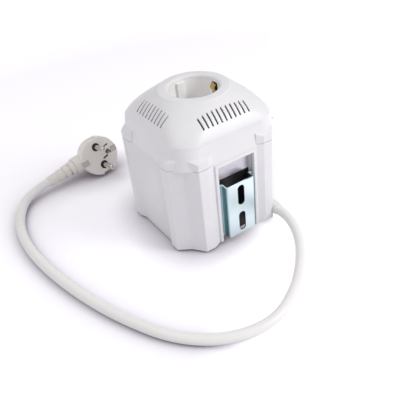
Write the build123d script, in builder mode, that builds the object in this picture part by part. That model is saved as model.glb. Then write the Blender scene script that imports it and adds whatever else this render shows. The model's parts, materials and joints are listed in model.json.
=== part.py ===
# A small relay voltage stabilizer: a square white housing with four fluted corner columns, a domed
# cover with one earthed outlet, a rail bracket that slides in the front wall, and a mains lead.
# Millimetres, +Z up. Pieces are drawn round the axis of the outlet, and written out moved so that the
# origin is on the surface it stands on, under the middle of box and bracket. The bracket faces -Y.
import os
from math import hypot, sqrt, tan, radians

from build123d import *

os.makedirs("parts", exist_ok=True)

# Driving dimensions
wall_half = 48.2          # axis of the outlet to the outside of a wall
wall = 2.2                # moulded wall
rib_stand = 2.3           # how far the ribs of the columns stand out from the wall
corner_cut = 17.0         # how far the edges of a corner groove stand back from the sharp corner
flute_depth = 2.0         # depth of the groove on the corner
rib_width = 8.0           # flat face of a rib
rib_slope = 5.5           # run of the slope from a rib down to the wall
foot_height = 2.0
foot_radius = 6.0
floor_wall = 2.5
parting_z = 76.0          # top of the lower housing
seam = 0.5                # shadow gap between the housing's columns and the cover's caps
cap_height = 9.5          # column cap above the parting line
skirt_height = 15.0       # upright part of the cover
skirt_taper = 2.4
dome_height = 23.4        # skirt to the rim round the outlet
rim_flat = 5.6
mouth_round = 1.7         # rounding of the outlet's mouth
well_radius = 19.6        # earthed outlet, 39 mm plug face
well_depth = 18.3
well_wall = 2.0
well_base = 3.0
pin_spacing = 19.0
pin_radius = 2.4
pin_length = 19.0
rail_length = 48.0        # 35 x 7.5 mm top-hat rail
rail_width = 35.0
rail_web = 26.0
rail_height = 7.5
rail_gauge = 1.0
rail_slot_length = 18.0
rail_slot_width = 6.2
rail_slot_pitch = 25.0
rail_stand = 2.7          # outer face of the rail's web in front of the ribs
rail_rest = 4.0           # underside of the box to the end of the rail
recess_side = 3.15        # edge of the rail's web to the side of the recess
recess_depth = 5.2
recess_header = 4.7       # top of the recess below the parting line
slide_gap = 0.3
vent_width = 1.5
vent_length = 8.2
vent_back = 8.5           # shoulder to the middle of a row of vents
front_vent_pitch = 4.0
front_vent_run = 42.0
side_vent_pitch = 4.25
side_vent_run = 36.5
fit_gap = 0.3
screw_radius = 1.5
pillar_radius = 4.2
cord_radius = 4.0
gland_inset = 12.9        # mains lead leaves low in the groove of the front right column
gland_rise = 7.0
gland_length = 20.0
gland_head = 8.2          # length of the gland in front of its shoulder
gland_radius = 5.5
gland_neck = 4.9
core_room = 13.0          # wall to the transformer's laminations
core_height = 55.0
core_stack = 34.0
core_leg = 22.0
core_x = 12.0
core_y = 2.5
coil_overhang = 9.0
frame_gauge = 1.2
board_room = 15.0         # wall to the edge of the board
board_stand = 2.4
board_thickness = 1.6
wire_radius = 0.9
plug_radius = 18.6
plug_depth = 25.0

# Places worked out from them
base_z = foot_height
rib_half = wall_half + rib_stand
inner_half = wall_half - wall
floor_top = base_z + floor_wall
rib_end = rib_half - corner_cut
flute_root = rib_half - corner_cut / 2 - flute_depth / sqrt(2)
inner_corner = ((inner_half - flute_root) * sqrt(2) + wall) / (sqrt(2) - 1)
slope_end = rib_end - rib_width - rib_slope
rail_face = rib_half + rail_stand
rail_rest_z = base_z + rail_rest
rail_top_z = rail_rest_z + rail_length
recess_half = rail_web / 2 + recess_side
recess_floor = wall_half - recess_depth
recess_back = recess_floor - wall
recess_top_z = parting_z - recess_header
lip_back = rail_face - rail_height
boss_x = slope_end + 7.6
boss_y = inner_half - pillar_radius - 0.1
shoulder_z = parting_z + skirt_height
shoulder_half = wall_half - skirt_taper
rim_z = shoulder_z + dome_height
rim_low_z = rim_z - 1.0
well_floor_z = rim_z - well_depth
well_under_z = well_floor_z - well_base
collar_bore = well_radius + well_wall + fit_gap
rim_radius = well_radius + mouth_round + rim_flat
rim_side = rim_radius + 1.3
collar_under_z = rim_z - 14.2
collar_top_z = rim_z - 3.2
vent_middle = shoulder_half - vent_back
gland_x = rib_half - gland_inset
gland_z = base_z + gland_rise
gland_end_y = -rail_face
core_width = 2 * (inner_half - core_room)
core_low_z = floor_top + 1.6
core_top_z = core_low_z + core_height
over_core_z = core_top_z + fit_gap + frame_gauge + wire_radius + 2.0
board_width = 2 * (inner_half - board_room)
board_low_z = floor_top + 5.5
board_top_z = over_core_z + 3.0
board_back = board_stand - inner_half
board_face = board_back + board_thickness
to_middle = Location((0, (rail_face - rib_half) / 2, 0))


def corner_points(half, end, width, slope, root, wall_at):
    """Outline of one corner from the +X wall round to the +Y wall."""
    return [
        (wall_at, end - width - slope),
        (half, end - width),
        (half, end),
        (root, root),
        (end, half),
        (end - width, half),
        (end - width - slope, wall_at),
    ]


def turned(point, quarter):
    x, y = point
    for _ in range(quarter):
        x, y = -y, x
    return (x, y)


outline_points = [
    turned(p, k)
    for k in range(4)
    for p in corner_points(rib_half, rib_end, rib_width, rib_slope, flute_root, wall_half)
]

# Outline of the lower housing, with soft rib edges and a wide radius in each corner groove
with BuildSketch() as outline:
    with BuildLine():
        Polyline(*outline_points, close=True)
    make_face()
    flute_roots = outline.vertices().filter_by(lambda v: abs(abs(v.X) - abs(v.Y)) < 0.1)
    fillet(flute_roots, radius=6.0)
    fillet(outline.vertices().filter_by(lambda v: abs(v.X) > rib_half - 0.1 or abs(v.Y) > rib_half - 0.1),
           radius=1.6)

collar_screw_at = (collar_bore + 3.0) / sqrt(2)
collar_screw_places = [(collar_screw_at, collar_screw_at), (-collar_screw_at, -collar_screw_at)]
screw_places = [(sx * boss_x, sy * boss_y) for sx in (-1, 1) for sy in (-1, 1)]
foot_at = inner_half - 16.0
foot_places = [(sx * foot_at, sy * foot_at) for sx in (-1, 1) for sy in (-1, 1)]
head_bore_top = parting_z - 16.0
board_screw_y = board_width / 2 - 2.5
board_screw_places = [(board_screw_y, board_low_z + 4.0), (-board_screw_y, board_top_z - 3.0)]

# Lower housing: tub with the columns, bracket recess, screw pillars and cord outlet
with BuildPart() as lower_housing:
    with BuildSketch(Plane.XY.offset(base_z)):
        add(outline.sketch)
    extrude(amount=parting_z - base_z)
    with BuildSketch(Plane.XY.offset(floor_top)):
        RectangleRounded(2 * inner_half, 2 * inner_half, inner_corner)
        with Locations((0, -inner_half)):
            Rectangle(2 * (slope_end + wall), 2 * (inner_half - recess_back), mode=Mode.SUBTRACT)
    extrude(amount=parting_z, mode=Mode.SUBTRACT)
    with BuildSketch(Plane.XY.offset(base_z)):
        with Locations((0, -wall_half)):
            Rectangle(2 * recess_half, 2 * recess_depth)
    extrude(amount=recess_top_z - base_z, mode=Mode.SUBTRACT)
    with BuildSketch(Plane.XY.offset(base_z)):
        with Locations((0, -(lip_back + rail_gauge / 2))):
            Rectangle(rail_width + 2 * slide_gap, rail_gauge + 2 * slide_gap)
    extrude(amount=recess_top_z - base_z, mode=Mode.SUBTRACT)
    with BuildSketch(Plane.XY.offset(floor_top)):
        with Locations(*screw_places):
            Circle(pillar_radius)
    extrude(amount=parting_z - fit_gap - floor_top)
    with BuildSketch(Plane.XY.offset(base_z)):
        with Locations(*screw_places):
            Circle(screw_radius + 1.8)
    extrude(amount=head_bore_top - base_z, mode=Mode.SUBTRACT)
    with BuildSketch(Plane.XY.offset(base_z)):
        with Locations(*screw_places):
            Circle(screw_radius + 0.2)
    extrude(amount=parting_z, mode=Mode.SUBTRACT)
    with BuildSketch(Plane.XZ.offset(-gland_end_y - gland_length)):
        with Locations((gland_x, gland_z)):
            Circle(gland_neck + 0.1)
    extrude(amount=gland_length, mode=Mode.SUBTRACT)
    with BuildSketch(Plane.XZ.offset(-gland_end_y - gland_head)):
        with Locations((gland_x, gland_z)):
            Circle(gland_radius + 0.2)
    extrude(amount=gland_length, mode=Mode.SUBTRACT)
    with BuildSketch(Plane.YZ.offset(-inner_half - 0.2)):
        with Locations(*board_screw_places):
            Circle(3.0)
    extrude(amount=board_stand + 0.2)
    with BuildSketch(Plane.YZ.offset(-inner_half - 1.0)):
        with Locations(*board_screw_places):
            Circle(1.1)
    extrude(amount=board_stand + 1.6, mode=Mode.SUBTRACT)
lower_housing.part.label = "lower_housing"
export_step(lower_housing.part.moved(to_middle), "parts/lower_housing.step")

# Round feet stuck under the floor
with BuildPart() as rubber_feet:
    with BuildSketch():
        with Locations(*foot_places):
            Circle(foot_radius)
    extrude(amount=foot_height)
rubber_feet.part.label = "rubber_feet"
export_step(rubber_feet.part.moved(to_middle), "parts/rubber_feet.step")

# Long screws up the pillars into the cover
with BuildPart() as housing_screws:
    with BuildSketch(Plane.XY.offset(head_bore_top - 2.4)):
        with Locations(*screw_places):
            Circle(screw_radius + 1.3)
    extrude(amount=2.4 - fit_gap / 3)
    with BuildSketch(Plane.XY.offset(head_bore_top - 1.0)):
        with Locations(*screw_places):
            Circle(screw_radius)
    extrude(amount=24.0)
housing_screws.part.label = "housing_screws"
export_step(housing_screws.part.moved(to_middle), "parts/housing_screws.step")


def dome_sections(inset, steps, top_z):
    """Levels of the dome, a rounded square that turns into a circle while it rises."""
    corner_share = shoulder_corner / shoulder_half
    rows = []
    for k in range(steps + 1):
        t = (top_z - shoulder_z) / (rim_low_z - shoulder_z) * k / steps
        half = shoulder_half + (rim_side - shoulder_half) * t ** 1.8 - inset
        share = corner_share + (0.995 - corner_share) * t ** 1.8
        rows.append((shoulder_z + (rim_low_z - shoulder_z) * t, half, half * share))
    return rows


# Caps of the four columns, bevelled back to the cover
cap_top_z = parting_z + cap_height
with BuildPart() as caps:
    with BuildSketch(Plane.XY.offset(parting_z + seam)):
        add(outline.sketch)
    extrude(amount=cap_height - seam)
    with BuildSketch(Plane.XY.offset(parting_z), mode=Mode.PRIVATE) as bevel_low:
        RectangleRounded(2 * (wall_half + cap_height), 2 * (wall_half + cap_height), inner_corner)
    with BuildSketch(Plane.XY.offset(cap_top_z), mode=Mode.PRIVATE) as bevel_high:
        RectangleRounded(2 * (wall_half - 1.2), 2 * (wall_half - 1.2), inner_corner)
    add(loft([bevel_low.sketch.face(), bevel_high.sketch.face()], mode=Mode.PRIVATE), mode=Mode.INTERSECT)
    with BuildSketch(Plane.XY.offset(parting_z)):
        with Locations(*[(sx * rib_half, sy * rib_half) for sx in (-1, 1) for sy in (-1, 1)]):
            Rectangle(2 * (rib_half - slope_end), 2 * (rib_half - slope_end))
    extrude(amount=cap_height, mode=Mode.INTERSECT)

# Top cover: skirt, a dome that turns from a rounded square into the round collar, column caps and vents
skirt_corner = 20.0
shoulder_corner = 18.5
front_vents = 2 * int(front_vent_run / front_vent_pitch / 2) + 1
side_vents = 2 * int(side_vent_run / side_vent_pitch / 2) + 1
with BuildPart() as top_cover:
    with BuildSketch(Plane.XY.offset(parting_z)):
        RectangleRounded(2 * wall_half, 2 * wall_half, skirt_corner)
    with BuildSketch(Plane.XY.offset(shoulder_z)):
        RectangleRounded(2 * shoulder_half, 2 * shoulder_half, shoulder_corner)
    loft(ruled=True)
    for z, half, radius in dome_sections(0, 8, rim_low_z):
        with BuildSketch(Plane.XY.offset(z)):
            RectangleRounded(2 * half, 2 * half, radius)
    loft(ruled=True)
    add(caps.part)
    with BuildSketch(Plane.XY.offset(parting_z)):
        RectangleRounded(2 * inner_half, 2 * inner_half, skirt_corner - wall)
    with BuildSketch(Plane.XY.offset(shoulder_z)):
        RectangleRounded(2 * (shoulder_half - wall), 2 * (shoulder_half - wall), shoulder_corner - wall)
    loft(ruled=True, mode=Mode.SUBTRACT)
    for z, half, radius in dome_sections(wall, 4, collar_top_z):
        with BuildSketch(Plane.XY.offset(z - 0.4 * wall)):
            RectangleRounded(2 * half, 2 * half, radius)
    loft(ruled=True, mode=Mode.SUBTRACT)
    with BuildSketch(Plane.XY.offset(collar_under_z)):
        Circle(collar_bore + 6.1)
    extrude(amount=collar_top_z - collar_under_z)
    with BuildSketch(Plane.XZ):
        with BuildLine():
            Polyline((0, rim_low_z), (rim_side, rim_low_z), (rim_side - 0.6, rim_z - 0.35),
                     (rim_radius - 0.6, rim_z), (0, rim_z), close=True)
        make_face()
    revolve(axis=Axis.Z)
    with BuildSketch(Plane.XZ):
        with BuildLine():
            Polyline((0, collar_under_z), (collar_bore, collar_under_z), (collar_bore, rim_z - 2.4),
                     (well_radius, rim_z - 2.4), (well_radius, rim_z - mouth_round),
                     (well_radius + 0.3 * mouth_round, rim_z - 0.3 * mouth_round),
                     (well_radius + mouth_round, rim_z), (0, rim_z), close=True)
        make_face()
    revolve(axis=Axis.Z, mode=Mode.SUBTRACT)
    for count, pitch, angle in ((front_vents, front_vent_pitch, 0), (side_vents, side_vent_pitch, 90)):
        with BuildSketch(Plane.XY.offset(shoulder_z).rotated((0, 0, angle))):
            with Locations((0, vent_middle), (0, -vent_middle)):
                with GridLocations(pitch, 1, count, 1):
                    Rectangle(vent_width, vent_length)
        extrude(amount=dome_height, mode=Mode.SUBTRACT)
    with BuildSketch(Plane.XY.offset(parting_z)):
        with Locations(*screw_places):
            Circle(pillar_radius)
    extrude(amount=skirt_height + 1.0)
    with BuildSketch(Plane.XY.offset(parting_z)):
        with Locations(*screw_places):
            Circle(screw_radius + 0.1)
    extrude(amount=12.0, mode=Mode.SUBTRACT)
    with BuildSketch(Plane.XY.offset(collar_under_z)):
        with Locations(*collar_screw_places):
            Circle(1.35)
    extrude(amount=5.5, mode=Mode.SUBTRACT)
top_cover.part.label = "top_cover"
export_step(top_cover.part.moved(to_middle), "parts/top_cover.step")

# Outlet well: cup with a flange under the collar, guide ridges on +Y and -Y, openings for the earth clips
flange_z = collar_under_z - 3.0
flange_radius = collar_bore + 6.0
clip_slot_width = 7.0
with BuildPart() as socket_well:
    with BuildSketch(Plane.XZ):
        with BuildLine():
            Polyline((0, well_under_z), (well_radius + well_wall, well_under_z),
                     (well_radius + well_wall, flange_z), (flange_radius, flange_z),
                     (flange_radius, collar_under_z - 0.05),
                     (well_radius + well_wall, collar_under_z - 0.05),
                     (well_radius + well_wall, rim_z - 2.5), (well_radius, rim_z - 2.5),
                     (well_radius, well_floor_z), (0, well_floor_z), close=True)
        make_face()
    revolve(axis=Axis.Z)
    with BuildSketch(Plane.XY.offset(well_floor_z)):
        with Locations((0, well_radius), (0, -well_radius)):
            Rectangle(7.0, 5.0)
        Circle(well_radius + 0.2, mode=Mode.INTERSECT)
    extrude(amount=well_depth - 3.4)
    with BuildSketch(Plane.XY.offset(well_under_z)):
        with Locations((0, pin_spacing / 2), (0, -pin_spacing / 2)):
            Circle(pin_radius + 0.25)
    extrude(amount=well_base, mode=Mode.SUBTRACT)
    with BuildSketch(Plane.XY.offset(well_under_z)):
        with Locations((well_radius - 1.0, 0), (1.0 - well_radius, 0)):
            Rectangle(7.6, clip_slot_width)
    extrude(amount=well_depth - 0.5, mode=Mode.SUBTRACT)
    with BuildSketch(Plane.XY.offset(flange_z)):
        with Locations(*collar_screw_places):
            Circle(1.5)
    extrude(amount=4.0, mode=Mode.SUBTRACT)
    with BuildSketch(Plane.XY.offset(well_under_z)):
        Circle(screw_radius + 0.1)
    extrude(amount=2.2, mode=Mode.SUBTRACT)
socket_well.part.label = "socket_well"
export_step(socket_well.part.moved(to_middle), "parts/socket_well.step")

# Earth strap: one bent strip, flat under the well, with a sprung clip up each side
strap_gauge = 0.8
strap_z = well_under_z - fit_gap - strap_gauge / 2
clip_out = well_radius + 0.6
clip_pinch = 3.8
clip_mouth = 1.6
with BuildPart() as earth_strap:
    with BuildSketch(Plane.XZ):
        with BuildLine(mode=Mode.PRIVATE) as bent:
            FilletPolyline((clip_mouth - clip_out, rim_z - 4.2), (clip_pinch - clip_out, rim_z - 7.4),
                           (-clip_out, rim_z - 12.5), (-clip_out, strap_z), (clip_out, strap_z),
                           (clip_out, rim_z - 12.5), (clip_out - clip_pinch, rim_z - 7.4),
                           (clip_out - clip_mouth, rim_z - 4.2), radius=0.9)
        trace(bent.line, line_width=strap_gauge)
    extrude(amount=2.5, both=True)
    with BuildSketch(Plane.XY.offset(strap_z - 1.0)):
        Circle(2.0)
    extrude(amount=2.0, mode=Mode.SUBTRACT)
earth_strap.part.label = "earth_strap"
export_step(earth_strap.part.moved(to_middle), "parts/earth_strap.step")

# Carrier under the well: holds the two contacts and the strap, drawn up by one middle screw
carrier_radius = well_radius - 2.1
carrier_depth = 13.0
carrier_low_z = well_under_z - carrier_depth
carrier_top_z = strap_z + strap_gauge / 2
contact_radius = pin_radius + 1.0
contact_top_z = well_under_z - fit_gap
contact_length = 10.5
contact_tail_z = contact_top_z - contact_length - 7.0
contact_tail_y = pin_spacing / 2 + contact_radius - 0.4
carrier_screw_head = 2.4
with BuildPart() as contact_carrier:
    with BuildSketch(Plane.XY.offset(carrier_low_z)):
        Circle(carrier_radius)
        with Locations((carrier_radius, 0), (-carrier_radius, 0)):
            Rectangle(6.0, 20.0, mode=Mode.SUBTRACT)
    extrude(amount=carrier_top_z - carrier_low_z)
    with BuildSketch(Plane.XY.offset(strap_z - strap_gauge / 2 - fit_gap)):
        Rectangle(2 * carrier_radius, 5.6)
    extrude(amount=3.0, mode=Mode.SUBTRACT)
    with BuildSketch(Plane.XY.offset(carrier_low_z)):
        with Locations((0, pin_spacing / 2), (0, -pin_spacing / 2)):
            Circle(contact_radius + fit_gap)
    extrude(amount=carrier_depth, mode=Mode.SUBTRACT)
    with BuildSketch(Plane.XY.offset(carrier_low_z)):
        Circle(screw_radius + 0.2)
    extrude(amount=carrier_depth, mode=Mode.SUBTRACT)
    with BuildSketch(Plane.XY.offset(carrier_low_z)):
        Circle(screw_radius + 1.5)
    extrude(amount=carrier_screw_head, mode=Mode.SUBTRACT)
contact_carrier.part.label = "contact_carrier"
export_step(contact_carrier.part.moved(to_middle), "parts/contact_carrier.step")

# Screws of the outlet: two through the flange, one up the middle of the carrier
with BuildPart() as outlet_screws:
    with BuildSketch(Plane.XY.offset(flange_z - 1.8)):
        with Locations(*collar_screw_places):
            Circle(2.5)
    extrude(amount=1.7)
    with BuildSketch(Plane.XY.offset(flange_z - 0.5)):
        with Locations(*collar_screw_places):
            Circle(1.25)
    extrude(amount=8.0)
    with BuildSketch(Plane.XY.offset(carrier_low_z + 0.4)):
        Circle(screw_radius + 1.2)
    extrude(amount=carrier_screw_head - 0.5)
    with BuildSketch(Plane.XY.offset(carrier_low_z + 1.0)):
        Circle(screw_radius)
    extrude(amount=well_under_z + 1.8 - carrier_low_z - 1.0)
outlet_screws.part.label = "outlet_screws"
export_step(outlet_screws.part.moved(to_middle), "parts/outlet_screws.step")

# Live and neutral contacts: split sleeves with a solder tail
def contact(y):
    """Sleeve round one pin, with its tail turned away from the middle screw."""
    out = 1 if y > 0 else -1
    with BuildPart() as sleeve:
        with BuildSketch(Plane.XY.offset(contact_top_z - contact_length)):
            with Locations((0, y)):
                Circle(contact_radius)
                Circle(pin_radius + 0.1, mode=Mode.SUBTRACT)
                with Locations((contact_radius, 0)):
                    Rectangle(2 * contact_radius, 0.8, mode=Mode.SUBTRACT)
        extrude(amount=contact_length)
        with BuildSketch(Plane.XY.offset(contact_tail_z)):
            with Locations((0, out * contact_tail_y)):
                Rectangle(2.4, 0.8)
        extrude(amount=8.0)
    return sleeve.part


for name, y in (("live_contact", pin_spacing / 2), ("neutral_contact", -pin_spacing / 2)):
    made = contact(y)
    made.label = name
    export_step(made.moved(to_middle), f"parts/{name}.step")

# Transformer: laminated core standing across the box, its coil along X
yoke = core_leg / 2
window_width = (core_width - 2 * core_leg) / 2
with BuildPart() as transformer_core:
    with BuildSketch(Plane.YZ.offset(core_x - core_stack / 2)):
        with Locations((core_y, core_low_z + core_height / 2)):
            Rectangle(core_width, core_height)
            with GridLocations(core_leg + window_width, 1, 2, 1):
                Rectangle(window_width, core_height - 2 * yoke, mode=Mode.SUBTRACT)
    extrude(amount=core_stack)
transformer_core.part.label = "transformer_core"
export_step(transformer_core.part.moved(to_middle), "parts/transformer_core.step")

# Bobbin round the middle leg, with a flange above and below the winding
bobbin_wall = 1.2
bobbin_gap = 0.3
bobbin_low_z = core_low_z + yoke + bobbin_gap
bobbin_height = core_height - 2 * yoke - 2 * bobbin_gap
bobbin_y = core_leg + 2 * (window_width - bobbin_gap)
bobbin_x = core_stack + 2 * coil_overhang
with BuildPart() as coil_bobbin:
    with BuildSketch(Plane.XY.offset(bobbin_low_z)):
        with Locations((core_x, core_y)):
            RectangleRounded(bobbin_x, bobbin_y, 1.5)
    extrude(amount=bobbin_wall)
    with BuildSketch(Plane.XY.offset(bobbin_low_z + bobbin_height - bobbin_wall)):
        with Locations((core_x, core_y)):
            RectangleRounded(bobbin_x, bobbin_y, 1.5)
    extrude(amount=bobbin_wall)
    with BuildSketch(Plane.XY.offset(bobbin_low_z)):
        with Locations((core_x, core_y)):
            Rectangle(core_stack + 2 * (bobbin_gap + bobbin_wall), core_leg + 2 * (bobbin_gap + bobbin_wall))
    extrude(amount=bobbin_height)
    with BuildSketch(Plane.XY.offset(bobbin_low_z)):
        with Locations((core_x, core_y)):
            Rectangle(core_stack + 2 * bobbin_gap, core_leg + 2 * bobbin_gap)
    extrude(amount=bobbin_height, mode=Mode.SUBTRACT)
coil_bobbin.part.label = "coil_bobbin"
export_step(coil_bobbin.part.moved(to_middle), "parts/coil_bobbin.step")

# Winding between the flanges, under its outer wrap of tape
with BuildPart() as coil_winding:
    with BuildSketch(Plane.XY.offset(bobbin_low_z + bobbin_wall + 0.1)):
        with Locations((core_x, core_y)):
            RectangleRounded(bobbin_x - 2.0, bobbin_y - 1.0, 5.0)
            Rectangle(core_stack + 2 * (bobbin_gap + bobbin_wall + 0.1),
                      core_leg + 2 * (bobbin_gap + bobbin_wall + 0.1), mode=Mode.SUBTRACT)
    extrude(amount=bobbin_height - 2 * bobbin_wall - 0.2)
coil_winding.part.label = "coil_winding"
export_step(coil_winding.part.moved(to_middle), "parts/coil_winding.step")

# Steel frame over the core, its two feet on the floor
frame_side = core_width / 2 + fit_gap
frame_top_z = core_top_z + fit_gap
frame_width = 20.0
foot_run = 9.0
frame_screw_y = frame_side + foot_run / 2 + 0.8
with BuildPart() as transformer_frame:
    with BuildSketch(Plane.YZ.offset(core_x - frame_width / 2)):
        with BuildLine():
            Polyline((core_y - frame_side - foot_run, floor_top), (core_y - frame_side, floor_top),
                     (core_y - frame_side, frame_top_z), (core_y + frame_side, frame_top_z),
                     (core_y + frame_side, floor_top), (core_y + frame_side + foot_run, floor_top),
                     (core_y + frame_side + foot_run, floor_top + frame_gauge),
                     (core_y + frame_side + frame_gauge, floor_top + frame_gauge),
                     (core_y + frame_side + frame_gauge, frame_top_z + frame_gauge),
                     (core_y - frame_side - frame_gauge, frame_top_z + frame_gauge),
                     (core_y - frame_side - frame_gauge, floor_top + frame_gauge),
                     (core_y - frame_side - foot_run, floor_top + frame_gauge), close=True)
        make_face()
    extrude(amount=frame_width)
    with BuildSketch(Plane.XY.offset(floor_top)):
        with Locations((core_x, core_y)):
            with GridLocations(1, 2 * frame_screw_y, 1, 2):
                Circle(2.0)
    extrude(amount=2 * frame_gauge, mode=Mode.SUBTRACT)
transformer_frame.part.label = "transformer_frame"
export_step(transformer_frame.part.moved(to_middle), "parts/transformer_frame.step")

# Screws of the frame's feet and of the board
with BuildPart() as frame_screws:
    with BuildSketch(Plane.XY.offset(floor_top + frame_gauge + 0.05)):
        with Locations((core_x, core_y)):
            with GridLocations(1, 2 * frame_screw_y, 1, 2):
                Circle(3.2)
    extrude(amount=2.0)
    with BuildSketch(Plane.XY.offset(floor_top + 0.05)):
        with Locations((core_x, core_y)):
            with GridLocations(1, 2 * frame_screw_y, 1, 2):
                Circle(1.8)
    extrude(amount=2.0)
frame_screws.part.label = "frame_screws"
export_step(frame_screws.part.moved(to_middle), "parts/frame_screws.step")

# Control board on two stand-offs of the -X wall
with BuildPart() as circuit_board:
    with BuildSketch(Plane.YZ.offset(board_back)):
        with Locations((0, (board_low_z + board_top_z) / 2)):
            Rectangle(board_width, board_top_z - board_low_z)
        with Locations(*board_screw_places):
            Circle(1.4, mode=Mode.SUBTRACT)
    extrude(amount=board_thickness)
circuit_board.part.label = "circuit_board"
export_step(circuit_board.part.moved(to_middle), "parts/circuit_board.step")

with BuildPart() as board_screws:
    with BuildSketch(Plane.YZ.offset(board_face + 0.05)):
        with Locations(*board_screw_places):
            Circle(2.2)
    extrude(amount=1.6)
    with BuildSketch(Plane.YZ.offset(-inner_half)):
        with Locations(*board_screw_places):
            Circle(1.05)
    extrude(amount=board_face + inner_half + 1.0)
board_screws.part.label = "board_screws"
export_step(board_screws.part.moved(to_middle), "parts/board_screws.step")

# Three relays in a row
relay_size = (15.5, 19.0, 15.0)
relay_pitch = 20.0
relay_z = board_low_z + 40.5
with BuildPart() as relays:
    with BuildSketch(Plane.YZ.offset(board_face)):
        with Locations((0, relay_z)):
            with GridLocations(relay_pitch, 1, 3, 1):
                Rectangle(relay_size[0], relay_size[1])
    extrude(amount=relay_size[2])
    chamfer(relays.faces().filter_by(Axis.X).sort_by(Axis.X)[-3:].edges(), length=0.5)
relays.part.label = "relays"
export_step(relays.part.moved(to_middle), "parts/relays.step")

# Smoothing capacitors
with BuildPart() as capacitors:
    for y, z, radius, length in ((-1.0, 10.0, 6.3, 20.0), (13.0, 9.0, 5.0, 16.0)):
        with BuildSketch(Plane.YZ.offset(board_face)):
            with Locations((y, board_low_z + z)):
                Circle(radius)
        extrude(amount=length)
capacitors.part.label = "capacitors"
export_step(capacitors.part.moved(to_middle), "parts/capacitors.step")

# Glass fuse between two end caps, held by the clips under it
fuse_x = board_face + 4.6
fuse_z = board_low_z + 19.0
with BuildPart() as fuse:
    with BuildSketch(Plane.XZ.offset(9.0)):
        with Locations((fuse_x, fuse_z)):
            Circle(2.4)
    extrude(amount=20.0)
    for y in (-9.0, -24.0):
        with BuildSketch(Plane.XZ.offset(-y)):
            with Locations((fuse_x, fuse_z)):
                Circle(2.6)
        extrude(amount=5.0)
        with BuildSketch(Plane.XZ.offset(1.0 - y)):
            with Locations(((board_face + fuse_x) / 2, fuse_z)):
                Rectangle(fuse_x - board_face, 3.0)
        extrude(amount=3.0)
fuse.part.label = "fuse"
export_step(fuse.part.moved(to_middle), "parts/fuse.step")

# Two-way terminal block: wire mouths in front, screw wells on top
terminal_z = board_low_z + 7.0
terminal_y = 7.0 - board_width / 2
terminal_depth = 11.0
lead_places = [terminal_y - 3.5, terminal_y + 3.5]
with BuildPart() as terminal_block:
    with BuildSketch(Plane.YZ.offset(board_face)):
        with Locations((terminal_y, terminal_z)):
            Rectangle(14.0, 10.0)
    extrude(amount=terminal_depth)
    with BuildSketch(Plane.YZ.offset(board_face + terminal_depth)):
        with Locations(*[(y, terminal_z) for y in lead_places]):
            Circle(1.4)
    extrude(amount=-5.0, mode=Mode.SUBTRACT)
    with BuildSketch(Plane.XY.offset(terminal_z + 5.0)):
        with Locations(*[(board_face + 6.0, y) for y in lead_places]):
            Circle(1.8)
    extrude(amount=-2.0, mode=Mode.SUBTRACT)
terminal_block.part.label = "terminal_block"
export_step(terminal_block.part.moved(to_middle), "parts/terminal_block.step")

# Control chip with its two rows of legs
chip_z = board_low_z + 21.0
with BuildPart() as control_chip:
    with BuildSketch(Plane.YZ.offset(board_face + 0.8)):
        with Locations((20.0, chip_z)):
            Rectangle(7.0, 16.0)
    extrude(amount=3.2)
    with BuildSketch(Plane.YZ.offset(board_face)):
        with Locations((20.0, chip_z)):
            with GridLocations(7.4, 2.54, 2, 6):
                Rectangle(0.8, 1.2)
    extrude(amount=2.4)
control_chip.part.label = "control_chip"
export_step(control_chip.part.moved(to_middle), "parts/control_chip.step")


def swept(points, radius, bends):
    """Round tube along straight runs joined by tangent arcs."""
    with BuildPart() as tube:
        with BuildLine() as way:
            FilletPolyline(*points, radius=bends)
        with BuildSketch(Plane(origin=way.line @ 0, z_dir=way.line % 0)):
            Circle(radius)
        sweep(path=way.line)
    return tube.part


# Lead end inside the box, its clamp, and the wires to the board, the outlet contacts and the earth strap
wire_bend = 1.8
tail_end_y = gland_end_y + gland_length + 3.5
with BuildPart() as cord_tail:
    with BuildSketch(Plane.XZ.offset(-tail_end_y)):
        with Locations((gland_x, gland_z)):
            Circle(cord_radius - 0.2)
    extrude(amount=tail_end_y - gland_end_y - 0.1)
cord_tail.part.label = "cord_tail"
export_step(cord_tail.part.moved(to_middle), "parts/cord_tail.step")

with BuildPart() as cord_clamp:
    with BuildSketch(Plane.XZ.offset(-tail_end_y)):
        with Locations((gland_x, (floor_top + gland_z + cord_radius + 1.4) / 2)):
            Rectangle(9.6, gland_z + cord_radius + 1.4 - floor_top)
        with Locations((gland_x, gland_z)):
            Circle(cord_radius - 0.15, mode=Mode.SUBTRACT)
    extrude(amount=3.0)
cord_clamp.part.label = "cord_clamp"
export_step(cord_clamp.part.moved(to_middle), "parts/cord_clamp.step")

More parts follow.
